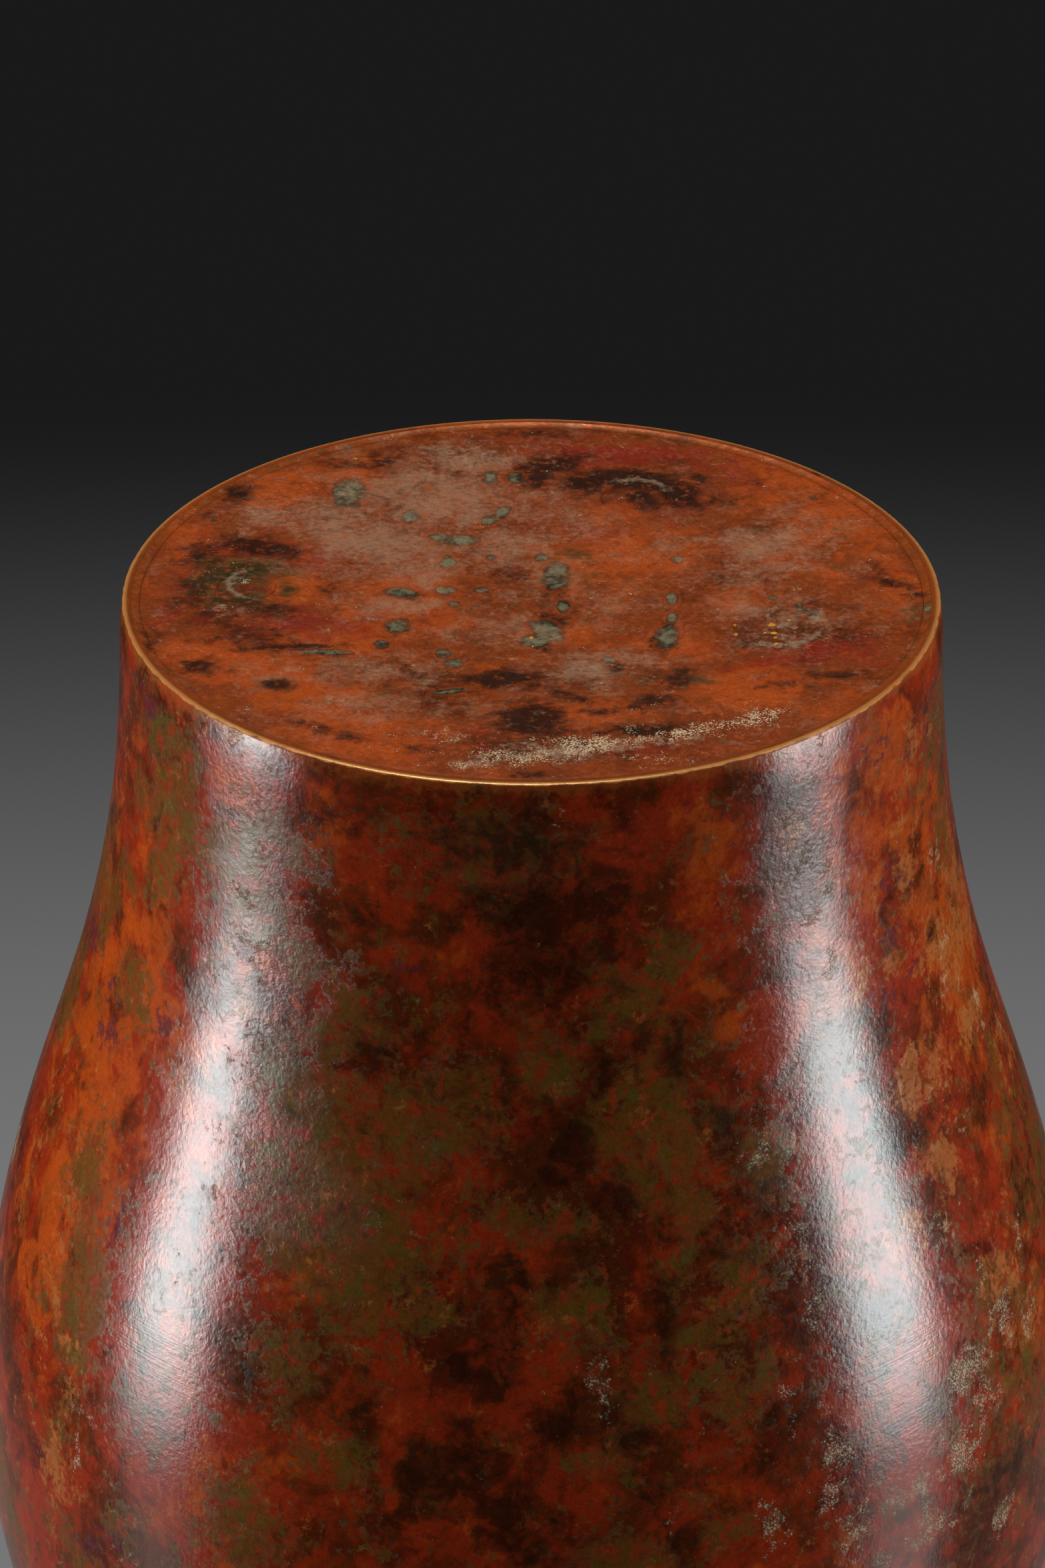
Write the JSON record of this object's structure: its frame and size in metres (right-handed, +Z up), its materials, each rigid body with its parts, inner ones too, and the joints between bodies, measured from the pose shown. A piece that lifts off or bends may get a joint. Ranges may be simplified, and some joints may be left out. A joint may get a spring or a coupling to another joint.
{
  "type": "bronze vase",
  "caption": "Cast bronze baluster vase: round foot with a soldered-in dished base plate, full belly, short neck and flared mouth, finished in a mottled red patina.",
  "frame": {"origin": "centre of the plane that the foot rests on", "axes": "+Z up along the vase's axis, from the foot to the mouth; -Y towards the side that the picture shows, where the vase stands upside down"},
  "size_m": [0.1594, 0.1594, 0.2466],
  "materials": {
    "body_patina": "cast bronze with a glossy, mottled vermilion, maroon and olive patina",
    "base_patina": "cast bronze with a satin, mottled orange-red patina and grey-green spots",
    "solder": "hard solder, worn to an amber line",
    "base_plugs": "hammered bronze, dark green-brown patina",
    "wall_plugs": "bronze dressed flush, dark brown patina"
  },
  "bodies": {
    "root": {"body_lower": "body_patina", "body_shoulder": "body_patina", "body_neck": "body_patina", "base_plate": "base_patina", "base_solder_ring": "solder", "base_plug_back": "base_plugs", "base_plug_front": "base_plugs", "base_plug_right": "base_plugs", "base_plug_left": "base_plugs", "wall_plug_front_left": "wall_plugs", "wall_plug_front_right": "wall_plugs", "wall_plug_back_left": "wall_plugs", "wall_plug_back_right": "wall_plugs"}
  },
  "joints": []
}
